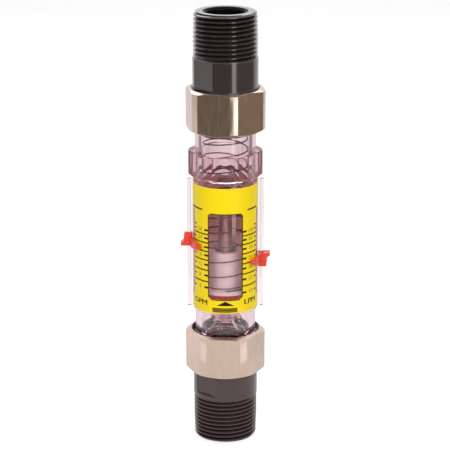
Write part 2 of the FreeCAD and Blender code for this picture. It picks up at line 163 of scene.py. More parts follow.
# Label
label_radius = 13.6
label_embed = 0.05
label_half_azimuth = 87.0
film_bottom = label.bottom + 0.35
film_top = label.top - 0.55
label_waist_bottom = label.bottom + 6.1
label_waist_top = label.bottom + 44.3
label_waist_reach = 12.72
label_waist_outside = label_radius + 3.0
label_waist_corner = 0.8
window_width = 13.7
window_bottom = label.bottom + 6.4
window_height = 36.9
window_low_corner = 0.8
window_high_corner = 0.35

# Print on the label, with the azimuths of both ends of each line
print_thickness = 0.012
print_step = 2.5
# Width of the painted shade of the film's cut edge round the window
window_shade_width = 0.4
bar_azimuths = (32.0, 40.0)
bar_thickness = 0.85
tick_azimuths = (60.8, 68.4)
line_azimuths = (bar_azimuths[0], tick_azimuths[1])
line_thickness = 0.6
number_size = 2.2
number_azimuth = 50.5
number_stretch = 1.15
unit_size = 3.1
unit_bold = 0.22
top_line_heights = (102.9, 103.55)
top_line_azimuths = ((-78.5, -45.0), (42.4, 68.6))
arrow_half_width = 3.7
arrow_base = 62.3
arrow_apex = 64.3
stripe_azimuths = (-23.5, 21.5)
stripe_count = 3
stripe_bottom = 59.4
stripe_pitch = 0.75
stripe_thickness = 0.42

# Spring, from its shelf on the piston up to the upper ledge. Its closed ends and ramps are in turns
spring_shelf = 67.4
spring_gap = 0.05
spring_mean_radius = 9.15
spring_turns = 13.0
closed_pitch = 0.9
lower_closed = 0.9
lower_ramp = 0.6
upper_closed = 0.8
upper_ramp = 2.2
wire_diameter = 0.55
wire_sides = 10
points_per_turn = 36

# Angles in degrees under which two faces are shaded as one surface
pipe_smooth = 14
nut_smooth = 20
body_smooth = 10
wire_smooth = 60
pointer_smooth = 25
pointer_bevel = 0.12

# Studio, in metres and degrees
meter_middle = Vector((0, 0, 0.092))
lamp_distance = 0.9
floor_radius = 6.0
wall_distance = 4.0
wall_height = 6.0
card_height = 0.002
side_shade = (0.3, 0.26, 0.27)
camera_place = (0, -0.704013, 0.312501)
camera_pitch = 17.283
picture_pixels = 450
focus_pixels = 1762.94
shift_pixels = -0.4


def sliced(bm, reach, step=0.3):
    """Cuts a flat bmesh along upright planes, so that it can bend round the label."""
    for index in range(round(-reach / step), round(reach / step) + 1):
        geom = bm.verts[:] + bm.edges[:] + bm.faces[:]
        bmesh.ops.bisect_plane(bm, geom=geom, dist=0.0001, plane_co=(index * step, 0, 0), plane_no=(1, 0, 0))
    return bm


def linked(name, data):
    """New object in the scene, from a mesh, a curve, a lamp or a camera."""
    holder = bpy.data.objects.new(name, data)
    bpy.context.scene.collection.objects.link(holder)
    return holder


def mesh_object(bm, name):
    """New object in the scene from a bmesh, which it uses up."""
    mesh = bpy.data.meshes.new(name)
    bm.to_mesh(mesh)
    bm.free()
    return linked(name, mesh)


def evaluated_bmesh(holder):
    """Bmesh of a curve or of a mesh with its modifiers. Its object is used up."""
    mesh = bpy.data.meshes.new_from_object(holder.evaluated_get(bpy.context.evaluated_depsgraph_get()))
    bm = bmesh.new()
    bm.from_mesh(mesh)
    bpy.data.meshes.remove(mesh)
    bpy.data.objects.remove(holder)
    return bm


def outline_bmesh(points):
    """Closed wire of (x, z) points in the XZ plane."""
    bm = bmesh.new()
    corners = [bm.verts.new((x, 0, z)) for x, z in points]
    for pair in zip(corners, corners[1:] + corners[:1]):
        bm.edges.new(pair)
    return bm


def clean(bm):
    """Merges doubles and points every face outwards."""
    bmesh.ops.remove_doubles(bm, verts=bm.verts, dist=0.0005)
    bmesh.ops.dissolve_degenerate(bm, edges=bm.edges, dist=0.0001)
    bmesh.ops.recalc_face_normals(bm, faces=bm.faces)
    return bm


def turned(points, rounding=0.0, sweep=360.0, start=0.0, steps=TURN_STEPS):
    """Solid turned about Z from its closed (radius, height) outline, with rounded corners."""
    bm = outline_bmesh(points)
    if rounding:
        bmesh.ops.bevel(
            bm, geom=bm.verts[:], offset=rounding, segments=3, profile=0.5, affect="VERTICES",
            material=-1, clamp_overlap=True)
    spun(bm, start - 90)
    full = sweep == 360.0
    first = bm.edges[:]
    result = bmesh.ops.spin(
        bm, geom=bm.verts[:] + bm.edges[:], cent=(0, 0, 0), axis=(0, 0, 1), angle=math.radians(sweep),
        steps=steps, use_merge=full)
    if not full:
        last = [item for item in result["geom_last"] if isinstance(item, bmesh.types.BMEdge)]
        bmesh.ops.contextual_create(bm, geom=first)
        bmesh.ops.contextual_create(bm, geom=last)
    return clean(bm)


def box(x_range, y_range, z_range):
    """Block between the low and high value of each axis."""
    bm = bmesh.new()
    centre = [(low + high) / 2 for low, high in (x_range, y_range, z_range)]
    size = [high - low for low, high in (x_range, y_range, z_range)]
    matrix = Matrix.Translation(centre) @ Matrix.Diagonal((*size, 1))
    bmesh.ops.create_cube(bm, size=1, matrix=matrix)
    return bm


def hexagon(across_flats, bottom, top, corner_azimuth):
    """Hexagonal bar with one corner at an azimuth."""
    bm = bmesh.new()
    matrix = Matrix.Translation((0, 0, bottom)) @ Matrix.Rotation(math.radians(corner_azimuth), 4, "Z")
    radius = across_flats / 2 / math.cos(math.radians(30))
    made = bmesh.ops.create_circle(bm, segments=6, radius=radius, cap_ends=True, matrix=matrix)
    raised = bmesh.ops.extrude_face_region(bm, geom=made["verts"][0].link_faces[:])
    tops = [item for item in raised["geom"] if isinstance(item, bmesh.types.BMVert)]
    bmesh.ops.translate(bm, verts=tops, vec=(0, 0, top - bottom))
    bmesh.ops.recalc_face_normals(bm, faces=bm.faces)
    return bm


def spun(bm, azimuth):
    """Turns a bmesh about Z, from the -Y side to an azimuth."""
    turn = Matrix.Rotation(math.radians(azimuth), 3, "Z")
    bmesh.ops.rotate(bm, verts=bm.verts, cent=(0, 0, 0), matrix=turn)
    return bm


def lifted(bm, rise):
    bmesh.ops.translate(bm, verts=bm.verts, vec=(0, 0, rise))
    return bm


def turned_over(bm, middle):
    """Turns a bmesh upside down about the Y axis through a height."""
    bmesh.ops.rotate(bm, verts=bm.verts, cent=(0, 0, middle), matrix=Matrix.Rotation(math.pi, 3, "Y"))
    return bm


def rounded(bm, edges, radius, segments=4):
    bmesh.ops.bevel(
        bm, geom=edges, offset=radius, segments=segments, profile=0.5, affect="EDGES", material=-1)


def joined(first, second, operation):
    """INTERSECT, UNION or DIFFERENCE of two closed bmeshes, as a new bmesh."""
    holder = mesh_object(first, "first")
    tool = mesh_object(second, "second")
    modifier = holder.modifiers.new("joined", "BOOLEAN")
    modifier.operation = operation
    modifier.solver = "EXACT"
    modifier.object = tool
    result = evaluated_bmesh(holder)
    bpy.data.objects.remove(tool)
    return clean(result)


def place(bm, name, rides, node, material, smooth=30.0, bevel=0.0):
    """Makes a piece from a bmesh in millimetres. Its node is the solid that it replaces, if any."""
    bmesh.ops.scale(bm, verts=bm.verts, vec=(MM, MM, MM))
    piece = mesh_object(bm, name)
    piece.data.materials.append(material)
    piece.data.shade_smooth()
    piece.data.set_sharp_from_angle(angle=math.radians(smooth))
    if bevel:
        edge = piece.modifiers.new("edges", "BEVEL")
        edge.width = bevel * MM
        edge.segments = 2
        edge.limit_method = "ANGLE"
        edge.angle_limit = math.radians(smooth)
        edge.harden_normals = True
    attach(piece, rides)
    if node:
        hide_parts(node)
    return piece


# Materials

def shader_group(name):
    """New material: its nodes, its links and its Principled shader."""
    material = bpy.data.materials.new(name)
    material.use_nodes = True
    nodes = material.node_tree.nodes
    return material, nodes, material.node_tree.links, nodes["Principled BSDF"]


def feed(links, socket, value):
    """Puts a number, a colour or what another node makes into a socket."""
    if isinstance(value, bpy.types.NodeSocket):
        links.new(value, socket)
    elif isinstance(value, tuple):
        socket.default_value = (*value, 1)
    else:
        socket.default_value = value


def calculated(nodes, links, operation, *values, clamp=False):
    """Result of a Math node on numbers or sockets."""
    step = nodes.new("ShaderNodeMath")
    step.operation = operation
    step.use_clamp = clamp
    for socket, value in zip(step.inputs, values):
        feed(links, socket, value)
    return step.outputs[0]


def product(nodes, links, first, second):
    return calculated(nodes, links, "MULTIPLY", first, second)


def rescaled(nodes, links, value, at_low, at_high, low=0.0, high=1.0):
    """Value held between low and high, and turned into one between two others."""
    spread = nodes.new("ShaderNodeMapRange")
    for socket, number in (("From Min", low), ("From Max", high), ("To Min", at_low), ("To Max", at_high)):
        spread.inputs[socket].default_value = number
    links.new(value, spread.inputs["Value"])
    return spread.outputs["Result"]


def object_place(nodes):
    return nodes.new("ShaderNodeTexCoord").outputs["Object"]


def object_noise(nodes, links, scale, stretch=(1, 1, 1), detail=3.0):
    """Noise on Object coordinates, with its grain stretched along the axes."""
    mapping = nodes.new("ShaderNodeMapping")
    mapping.inputs["Scale"].default_value = stretch
    noise = nodes.new("ShaderNodeTexNoise")
    noise.inputs["Scale"].default_value = scale
    noise.inputs["Detail"].default_value = detail
    links.new(object_place(nodes), mapping.inputs["Vector"])
    links.new(mapping.outputs["Vector"], noise.inputs["Vector"])
    return noise.outputs["Fac"]


def ranged(nodes, links, noise, low, high):
    """Noise, most of which lies from 0.3 to 0.7, spread between low and high."""
    return rescaled(nodes, links, noise, low, high, 0.3, 0.7)


def blended(nodes, links, share, first, second):
    """Colour between two colours by a share."""
    mix = nodes.new("ShaderNodeMix")
    mix.data_type = "RGBA"
    feed(links, mix.inputs["A"], first)
    feed(links, mix.inputs["B"], second)
    links.new(share, mix.inputs["Factor"])
    return mix.outputs["Result"]


def mixed(nodes, links, share, first, second):
    """Shader between two shaders by a share."""
    choice = nodes.new("ShaderNodeMixShader")
    for socket, source in zip(choice.inputs, (share, first, second)):
        links.new(source, socket)
    return choice.outputs["Shader"]


def from_axis(nodes, links, operation):
    """What lies between a point and the meter's axis: its LENGTH, or its direction by NORMALIZE."""
    flat = nodes.new("ShaderNodeVectorMath")
    flat.operation = "MULTIPLY"
    flat.inputs[1].default_value = (1, 1, 0)
    links.new(object_place(nodes), flat.inputs[0])
    result = nodes.new("ShaderNodeVectorMath")
    result.operation = operation
    links.new(flat.outputs["Vector"], result.inputs[0])
    return result.outputs["Value" if operation == "LENGTH" else "Vector"]


def along(nodes, links, vector, axis):
    split = nodes.new("ShaderNodeSeparateXYZ")
    links.new(vector, split.inputs["Vector"])
    return split.outputs[axis]


def outward_share(nodes, links, near, far, at_near=0.0, at_far=1.0):
    """Share that changes with the distance from the meter's axis, between two radii in millimetres."""
    return rescaled(nodes, links, from_axis(nodes, links, "LENGTH"), at_near, at_far, near * MM, far * MM)


def height_share(nodes, links, near, far):
    """0 at one height and 1 at the other, in millimetres."""
    height = along(nodes, links, object_place(nodes), "Z")
    return rescaled(nodes, links, height, 0.0, 1.0, near * MM, far * MM)


def bumped(nodes, links, shader, height, distance):
    """Gives a shader a bump of a real height, in millimetres."""
    bump = nodes.new("ShaderNodeBump")
    bump.inputs["Strength"].default_value = 1.0
    bump.inputs["Distance"].default_value = distance * MM
    links.new(height, bump.inputs["Height"])
    links.new(bump.outputs["Normal"], shader.inputs["Normal"])


def moulded_skin(nodes, links, shader, rough_range, grain=0.004):
    """Changing gloss and the fine grain of a mould."""
    gloss = object_noise(nodes, links, 260, detail=4)
    links.new(ranged(nodes, links, gloss, *rough_range), shader.inputs["Roughness"])
    bumped(nodes, links, shader, object_noise(nodes, links, 2600, detail=2), grain)


def moulded_plastic(name, dark, light, rough_range, grain=0.004):
    """Moulded plastic with soft clouding, as a material and its shader."""
    material, nodes, links, shader = shader_group(name)
    cloud = object_noise(nodes, links, 90, detail=2)
    links.new(blended(nodes, links, cloud, dark, light), shader.inputs["Base Color"])
    moulded_skin(nodes, links, shader, rough_range, grain)
    shader.inputs["IOR"].default_value = 1.5
    return material, shader


def dark_plastic(name, bore, dark, light, polish, rough_range, thread_range):
    """Near-black moulding under a coat of polish. It is dull in its bore. Its thread grooves have painted
    shade: near black, with little gloss and coat.
    """
    material, nodes, links, shader = shader_group(name)
    low, high = thread_range
    above_low = height_share(nodes, links, low, low + 0.1)
    below_high = height_share(nodes, links, high, high - 0.1)
    threaded = product(nodes, links, above_low, below_high)
    groove_floor = pipe_small_radius - pipe_thread_depth + 0.25
    groove_top = pipe_small_radius - 0.12
    groove_shade = product(nodes, links, threaded, outward_share(nodes, links, groove_floor, groove_top, 1.0, 0.0))
    cloud = blended(nodes, links, object_noise(nodes, links, 90, detail=2), dark, light)
    outside = outward_share(nodes, links, pipe_bore_radius + 0.2, pipe_mouth_radius)
    shade = blended(nodes, links, outside, bore, cloud)
    # Painted shade: the thread grooves turn near black, where shade falls deep between the turns
    links.new(blended(nodes, links, groove_shade, shade, (0.004, 0.003, 0.003)), shader.inputs["Base Color"])
    # The painted shade also takes most of the gloss and coat out of the grooves
    open_share = product(nodes, links, outside, rescaled(nodes, links, groove_shade, 1.0, 0.1))
    links.new(rescaled(nodes, links, open_share, 0.05, 0.5), shader.inputs["Specular IOR Level"])
    links.new(rescaled(nodes, links, open_share, 0.0, polish), shader.inputs["Coat Weight"])
    shader.inputs["Coat Roughness"].default_value = 0.1
    moulded_skin(nodes, links, shader, rough_range)
    return material


def nickel():
    """Drawn hexagon bar with satin nickel: fine lines along the bar and soft stains. Its bore has painted
    shade, a dark brown inside it.
    """
    material, nodes, links, shader = shader_group("satin_nickel")
    stain = object_noise(nodes, links, 110, detail=3)
    lines = object_noise(nodes, links, 2400, stretch=(1, 1, 0.06), detail=2)
    stained = blended(nodes, links, lines, (0.5, 0.38, 0.31), (0.66, 0.52, 0.43))
    polished = blended(nodes, links, lines, (0.61, 0.475, 0.39), (0.77, 0.605, 0.505))
    bright = blended(nodes, links, stain, stained, polished)
    outside = outward_share(nodes, links, nut_bore_radius + 0.05, nut_bore_radius + 0.35)
    # Painted shade: the nickel turns dark brown inside the bore, where the nut's own walls shade it
    links.new(blended(nodes, links, outside, (0.15, 0.105, 0.105), bright), shader.inputs["Base Color"])
    shader.inputs["Metallic"].default_value = 1.0
    links.new(ranged(nodes, links, lines, 0.15, 0.23), shader.inputs["Roughness"])
    bumped(nodes, links, shader, lines, 0.001)
    return material


def steel(name, colour, rough_range=(0.18, 0.32), painted_top_light=None, top=0.0):
    """Turned steel with fine rings round its axis. A painted top light is a lighter colour painted on the face
    at its top, as if light fell on it from above.
    """
    material, nodes, links, shader = shader_group(name)
    shader.inputs["Metallic"].default_value = 1.0
    feed(links, shader.inputs["Base Color"], colour)
    if painted_top_light:
        # Painted light: the face at the top takes a lighter colour
        face = height_share(nodes, links, top - 0.4, top - 0.1)
        links.new(blended(nodes, links, face, colour, painted_top_light), shader.inputs["Base Color"])
    rings = object_noise(nodes, links, 1200, stretch=(0.05, 0.05, 1), detail=2)
    links.new(ranged(nodes, links, rings, *rough_range), shader.inputs["Roughness"])
    bumped(nodes, links, shader, rings, 0.003)
    return material


def rubber():
    return moulded_plastic("black_rubber", (0.012, 0.012, 0.012), (0.02, 0.02, 0.02), (0.55, 0.7))[0]


def pale_plastic():
    material, shader = moulded_plastic(
        "off_white_plastic", (0.93, 0.86, 0.82), (0.97, 0.91, 0.87), (0.35, 0.5))
    shader.inputs["Subsurface Weight"].default_value = 0.1
    shader.inputs["Subsurface Scale"].default_value = 0.001
    return material


def red_plastic(name, dark, light):
    material, shader = moulded_plastic(name, dark, light, (0.22, 0.34))
    shader.inputs["Subsurface Weight"].default_value = 0.12
    shader.inputs["Subsurface Radius"].default_value = (1.0, 0.2, 0.1)
    shader.inputs["Subsurface Scale"].default_value = 0.0008
    return material


def yellow_film():
    """Printed film with the slight dither of its ink. Its dull back has a painted glow, standing in for
    daylight through the film.
    """
    material, nodes, links, shader = shader_group("yellow_film")
    dither = object_noise(nodes, links, 1500, detail=2)
    yellow = blended(nodes, links, dither, (0.93, 0.67, 0.003), (0.97, 0.75, 0.006))
    outside = outward_share(nodes, links, barrel_radius, barrel_radius + 0.1)
    links.new(blended(nodes, links, outside, (0.4, 0.27, 0.25), yellow), shader.inputs["Base Color"])
    # Painted light: the back of the film glows, as if daylight came through it
    links.new(blended(nodes, links, outside, (0.2, 0.115, 0.1), (0, 0, 0)), shader.inputs["Emission Color"])
    shader.inputs["Emission Strength"].default_value = 1.0
    shader.inputs["Specular IOR Level"].default_value = 0.15
    wave = object_noise(nodes, links, 150, detail=2)
    links.new(ranged(nodes, links, wave, 0.26, 0.36), shader.inputs["Roughness"])
    bumped(nodes, links, shader, wave, 0.01)
    return material


def ink(name, dark, light):
    material, shader = moulded_plastic(name, dark, light, (0.4, 0.55), 0.001)
    shader.inputs["Specular IOR Level"].default_value = 0.15
    return material


def clear_plastic(name, bending):
    """Clear moulding with a faint purple-pink tint. It lets the lamps in, and between the nuts it has a soft
    painted glow where rays have mirrored inside it more than twice.
    """
    material, nodes, links, shader = shader_group(name)
    feed(links, shader.inputs["Base Color"], (0.98, 0.96, 0.97))
    shader.inputs["Transmission Weight"].default_value = 1.0
    shader.inputs["IOR"].default_value = bending
    tint = nodes.new("ShaderNodeVolumeAbsorption")
    feed(links, tint.inputs["Color"], (0.6, 0.0, 0.15))
    tint.inputs["Density"].default_value = 60
    links.new(tint.outputs["Volume"], nodes["Material Output"].inputs["Volume"])
    polish = object_noise(nodes, links, 220, detail=3)
    links.new(ranged(nodes, links, polish, 0.0, 0.05), shader.inputs["Roughness"])
    bumped(nodes, links, shader, object_noise(nodes, links, 120, detail=1), 0.01)
    path = nodes.new("ShaderNodeLightPath").outputs
    lamp_or_daylight = calculated(nodes, links, "MAXIMUM", path["Is Shadow Ray"], path["Is Diffuse Ray"])
    through = nodes.new("ShaderNodeBsdfTransparent")
    feed(links, through.inputs["Color"], (0.97, 0.95, 0.96))
    moulding = mixed(nodes, links, lamp_or_daylight, shader.outputs["BSDF"], through.outputs["BSDF"])
    # Painted light: a soft glow between the nuts, for rays that have mirrored more than twice inside the
    # moulding
    painted_glow_share = calculated(nodes, links, "GREATER_THAN", path["Glossy Depth"], 2.5)
    glow = nodes.new("ShaderNodeEmission")
    feed(links, glow.inputs["Color"], (0.5, 0.42, 0.45))
    above_lower_nut = height_share(nodes, links, lower_nut.top - 7, lower_nut.top + 2)
    below_upper_nut = height_share(nodes, links, upper_nut.bottom + 2, upper_nut.bottom - 1)
    links.new(product(nodes, links, above_lower_nut, below_upper_nut), glow.inputs["Strength"])
    whole = mixed(nodes, links, painted_glow_share, moulding, glow.outputs["Emission"])
    links.new(whole, nodes["Material Output"].inputs["Surface"])
    return material


# Threads

# One turn of a thread: share of the pitch, and share of the depth that is cut away
THREAD_FORM = (
    (0.0, 0.0), (0.07, 0.0), (0.12, 0.02), (0.165, 0.08), (0.2, 0.18), (0.46, 0.9), (0.5, 0.98), (0.54, 1.0),
    (0.58, 0.98), (0.62, 0.9), (0.88, 0.18), (0.92, 0.08), (0.96, 0.02))
THREAD_CLEARANCE = 0.06


def thread_cutter(bottom, top, pitch, depth, crest_at, depth_at, outside):
    """Closed ring that cuts a right-hand thread into a blank. crest_at and depth_at take a height.

    It is spun round a tube, with shares of the depth as steps, and then set to its real radii."""
    bm = bmesh.new()
    turns = math.ceil((top - bottom) / pitch) + 2
    tube_radius = 10.0
    column = [
        bm.verts.new((tube_radius - share, 0, bottom + (turn - 1 + rise) * pitch))
        for turn in range(turns) for rise, share in THREAD_FORM
    ]
    for pair in zip(column, column[1:]):
        bm.edges.new(pair)
    bmesh.ops.spin(
        bm, geom=bm.verts[:] + bm.edges[:], cent=(0, 0, 0), axis=(0, 0, 1), dvec=(0, 0, pitch / TURN_STEPS),
        angle=2 * math.pi, steps=TURN_STEPS, use_merge=False)
    for vertex in bm.verts:
        outward = Vector((vertex.co.x, vertex.co.y))
        share = (tube_radius - outward.length) * depth_at(vertex.co.z)
        radius = crest_at(vertex.co.z) + THREAD_CLEARANCE - (depth + THREAD_CLEARANCE) * share
        outward = outward.normalized() * radius
        vertex.co = (outward.x, outward.y, vertex.co.z)
    bmesh.ops.remove_doubles(bm, verts=bm.verts, dist=0.001)
    for height, side in ((bottom, {"clear_inner": True}), (top, {"clear_outer": True})):
        bmesh.ops.bisect_plane(
            bm, geom=bm.verts[:] + bm.edges[:] + bm.faces[:], dist=0.0001, plane_co=(0, 0, height),
            plane_no=(0, 0, 1), **side)
    rims = [edge for edge in bm.edges if edge.is_boundary]
    grown = bmesh.ops.extrude_edge_only(bm, edges=rims)
    outer = [item for item in grown["geom"] if isinstance(item, bmesh.types.BMVert)]
    for vertex in outer:
        outward = Vector((vertex.co.x, vertex.co.y)).normalized() * outside
        vertex.co = (outward.x, outward.y, vertex.co.z)
    bmesh.ops.bridge_loops(bm, edges=[edge for edge in bm.edges if edge.is_boundary])
    return clean(bm)


def pipe_crest(height):
    return min(pipe_small_radius + height * pipe_taper, pipe_full_radius)


def pipe_depth(height):
    """Full depth, fading out over the last half turn before the barrel."""
    return max(0.0, min(1.0, (pipe_thread_length - pipe_thread_run_out - height) / (pipe_pitch / 2)))


def pipe_end(length, flat_start, flat_end, flat_azimuth):
    """Pipe end with its threaded end down at z = 0."""
    taper_end = (pipe_full_radius - pipe_small_radius) / pipe_taper
    flange_bottom = length - pipe_flange_thickness
    blank = turned([
        (pipe_mouth_radius, 0),
        (pipe_small_radius - pipe_end_chamfer, 0),
        (pipe_small_radius, pipe_end_chamfer),
        (pipe_full_radius, taper_end),
        (pipe_full_radius, pipe_thread_length),
        (pipe_barrel_radius, pipe_thread_length),
        (pipe_barrel_radius, flange_bottom),
        (pipe_flange_radius, flange_bottom),
        (pipe_flange_radius, length),
        (pipe_bore_radius, length),
        (pipe_bore_radius, pipe_mouth_depth),
    ], rounding=pipe_edge)
    cutter = thread_cutter(
        -thread_margin, pipe_thread_length - pipe_thread_end_gap, pipe_pitch, pipe_thread_depth, pipe_crest,
        pipe_depth, pipe_barrel_radius + cutter_margin)
    blank = joined(blank, cutter, "DIFFERENCE")
    for azimuth in (flat_azimuth, flat_azimuth + 180):
        flat = box(
            (-flat_cutter_reach, flat_cutter_reach), (-flat_cutter_outside, -wrench_flat_distance),
            (flat_start, flat_end))
        blank = joined(blank, spun(flat, azimuth), "DIFFERENCE")
    return blank


def make_pipe_ends(inlet_plastic, outlet_plastic):
    flat_end = lower_nut.bottom + flat_under_nut
    lower = pipe_end(lower_end.height, lower_flat_start, flat_end, lower_flat_azimuth)
    place(lower, "inlet_pipe_end", "meter", "lower_fitting", inlet_plastic, pipe_smooth)
    flat_end = upper_end.top - upper_nut.top + flat_under_nut
    upper = pipe_end(upper_end.height, pipe_thread_length, flat_end, -upper_flat_azimuth)
    upper = turned_over(lifted(upper, upper_end.bottom), (upper_end.bottom + upper_end.top) / 2)
    place(upper, "outlet_pipe_end", "meter", "upper_fitting", outlet_plastic, pipe_smooth)


def union_nut(height, corner_azimuth):
    """Union nut with its lip down, from z = 0."""
    lip_width, lip_height = nut_lip_chamfer
    mouth_width, mouth_height = nut_mouth_chamfer
    blank = turned([
        (nut_lip_radius, 0),
        (nut_corner_radius - lip_width, 0),
        (nut_corner_radius, lip_height),
        (nut_corner_radius, height - mouth_height),
        (nut_corner_radius - mouth_width, height),
        (nut_bore_radius, height),
        (nut_bore_radius, nut_lip_thickness),
        (nut_lip_radius, nut_lip_thickness),
    ], rounding=nut_edge)
    bar = hexagon(nut_across_flats, -cutter_margin, height + cutter_margin, corner_azimuth)
    return joined(blank, bar, "INTERSECT")


def make_nuts(material):
    lower = lifted(union_nut(lower_nut.height, lower_nut_corner_azimuth), lower_nut.bottom)
    upper = lifted(union_nut(upper_nut.height, -upper_nut_corner_azimuth), upper_nut.bottom)
    upper = turned_over(upper, (upper_nut.bottom + upper_nut.top) / 2)
    for nut, name, rides, node in (
        (lower, "inlet_union_nut", "lower_nut", "lower_union_nut"),
        (upper, "outlet_union_nut", "upper_nut", "upper_union_nut"),
    ):
        place(nut, name, rides, node, material, nut_smooth, nut_bevel)


def body_thread(bottom, top):
    return thread_cutter(
        bottom, top, body_thread_pitch, body_thread_depth, lambda height: body_thread_radius,
        lambda height: 1.0, body_thread_radius + cutter_margin)


def hexagon_collar():
    """Hexagon collar with a rounded top edge and a cone under it."""
    inner = neck_radius - collar_overlap
    slope = collar_under_slope / (collar_radius - neck_radius)
    ring = turned([
        (inner, collar_bottom - collar_overlap * slope),
        (collar_radius, collar_bottom + collar_under_slope),
        (collar_radius, collar_top - collar_edge),
        (collar_radius - 2 * collar_edge, collar_top + collar_edge),
        (inner, collar_top + collar_edge),
    ], rounding=collar_ring_edge)
    bar = hexagon(collar_across_flats, collar_bottom - cutter_margin, collar_top, collar_corner_azimuth)
    top_edges = [
        edge for edge in bar.edges if all(vertex.co.z > collar_top - cutter_margin for vertex in edge.verts)]
    rounded(bar, top_edges, collar_edge)
    return joined(ring, bar, "INTERSECT")


def clear_body():
    """One clear moulding: threaded necks, barrel, hexagon collar and two rails."""
    blank = turned([
        (pocket_radius, body.bottom),
        (body_thread_radius, body.bottom),
        (body_thread_radius, body.bottom + body_thread_length),
        (neck_radius, body.bottom + body_thread_length),
        (neck_radius, barrel_bottom),
        (barrel_radius, barrel_bottom),
        (barrel_radius, barrel_top),
        (neck_radius, barrel_top),
        (neck_radius, body.top - body_thread_length),
        (body_thread_radius, body.top - body_thread_length),
        (body_thread_radius, body.top),
        (pocket_radius, body.top),
        (pocket_radius, upper_groove + snap_groove_height),
        (groove_radius, upper_groove + snap_groove_height),
        (groove_radius, upper_groove),
        (pocket_radius, upper_groove),
        (pocket_radius, upper_ledge),
        (bore_radius, upper_ledge),
        (bore_radius, lower_ledge),
        (pocket_radius, lower_ledge),
        (pocket_radius, lower_groove + snap_groove_height),
        (groove_radius, lower_groove + snap_groove_height),
        (groove_radius, lower_groove),
        (pocket_radius, lower_groove),
    ], rounding=body_edge)
    blank = joined(blank, hexagon_collar(), "UNION")
    thread_reach = body_thread_length + body_thread_overrun
    for bottom, top in (
        (body.bottom - thread_margin, body.bottom + thread_reach),
        (body.top - thread_reach, body.top + thread_margin),
    ):
        blank = joined(blank, body_thread(bottom, top), "DIFFERENCE")
    half_web = rail_web_width / 2
    half_head = rail_head_width / 2
    for azimuth in (90, -90):
        web = box(
            (-half_web, half_web), (-rail_head_inner - rail_web_in_head, -barrel_radius + rail_web_in_barrel),
            (rail_bottom, rail_top))
        head = box((-half_head, half_head), (-rail_head_outer, -rail_head_inner), (rail_bottom, rail_top))
        rounded(head, head.edges[:], rail_edge)
        blank = joined(blank, spun(joined(head, web, "UNION"), azimuth), "UNION")
    return blank


def make_body(material):
    place(clear_body(), "clear_body", "meter", "meter_body", material, body_smooth)


def label_band(bottom, top):
    inner = barrel_radius - label_embed
    points = [(inner, bottom), (label_radius, bottom), (label_radius, top), (inner, top)]
    return turned(points, sweep=2 * label_half_azimuth, start=-label_half_azimuth)


def rounded_opening(x_range, z_range, low_corner, high_corner):
    """Block from the axis to past the label, with its lower and upper long edges rounded."""
    opening = box(x_range, (-label_radius - cutter_margin, 0), z_range)
    middle = sum(z_range) / 2
    for corner, above in ((low_corner, False), (high_corner, True)):
        long_edges = [
            edge for edge in opening.edges
            if abs(edge.verts[0].co.y - edge.verts[1].co.y) > label_radius
            and (edge.verts[0].co.z > middle) == above]
        rounded(opening, long_edges, corner, segments=6)
    return opening


def make_labels(film):
    front = label_band(film_bottom, film_top)
    half = window_width / 2
    window = rounded_opening(
        (-half, half), (window_bottom, window_bottom + window_height), window_low_corner, window_high_corner)
    front = joined(front, window, "DIFFERENCE")
    for side in (-1, 1):
        reach = sorted((side * label_waist_reach, side * label_waist_outside))
        z_range = (label_waist_bottom, label_waist_top)
        waist = rounded_opening(reach, z_range, label_waist_corner, label_waist_corner)
        front = joined(front, waist, "DIFFERENCE")
    place(front, "scale_film", "meter", "scale_label", film)
    rear = spun(label_band(label.bottom, label.top), 180)
    place(rear, "rear_film", "meter", "rear_label", film)


# Print on the label

def wrapped(bm, azimuth):
    """Bends a flat bmesh, x to the right and z up, round the label at an azimuth. Its y is height off it."""
    for vertex in bm.verts:
        angle = math.radians(azimuth - 90) + vertex.co.x / label_radius
        radius = label_radius + vertex.co.y
        vertex.co = (radius * math.cos(angle), radius * math.sin(angle), vertex.co.z)
    return bm


def printed_patch(low, high, bottom, top):
    """Printed rectangle between two azimuths and two heights."""
    inner, outer = label_radius - print_thickness, label_radius + print_thickness
    points = [(inner, bottom), (outer, bottom), (outer, top), (inner, top)]
    steps = max(2, round((high - low) / print_step))
    return turned(points, sweep=high - low, start=low, steps=steps)


def printed_words(words, size, azimuth, middle, stretch=1.0, bold=0.0):
    """Printed words, centred on an azimuth and a height. Bold is how much wider their strokes are."""
    curve = bpy.data.curves.new("words", "FONT")
    curve.body = words
    curve.size = size
    curve.align_x = "CENTER"
    curve.align_y = "CENTER"
    curve.extrude = print_thickness
    curve.resolution_u = 4
    bm = evaluated_bmesh(linked("words", curve))
    bmesh.ops.rotate(bm, verts=bm.verts, cent=(0, 0, 0), matrix=Matrix.Rotation(math.pi / 2, 3, "X"))
    bmesh.ops.scale(bm, verts=bm.verts, vec=(stretch, -1, 1))
    bmesh.ops.translate(bm, verts=bm.verts, vec=(-bold / 2, 0, middle))
    bm = clean(bm)
    if bold:
        beside = bm.copy()
        bmesh.ops.translate(beside, verts=beside.verts, vec=(bold, 0, 0))
        bm = joined(bm, beside, "UNION")
    return wrapped(sliced(bm, size * len(words)), azimuth)


def flow_arrow():
    """Black triangle under the window."""
    bm = bmesh.new()
    triangle = ((-arrow_half_width, arrow_base), (arrow_half_width, arrow_base), (0, arrow_apex))
    for y in (-print_thickness, print_thickness):
        bm.faces.new([bm.verts.new((x, y, z)) for x, z in triangle])
    bmesh.ops.bridge_loops(bm, edges=bm.edges[:])
    return wrapped(sliced(clean(bm), arrow_half_width), 0)


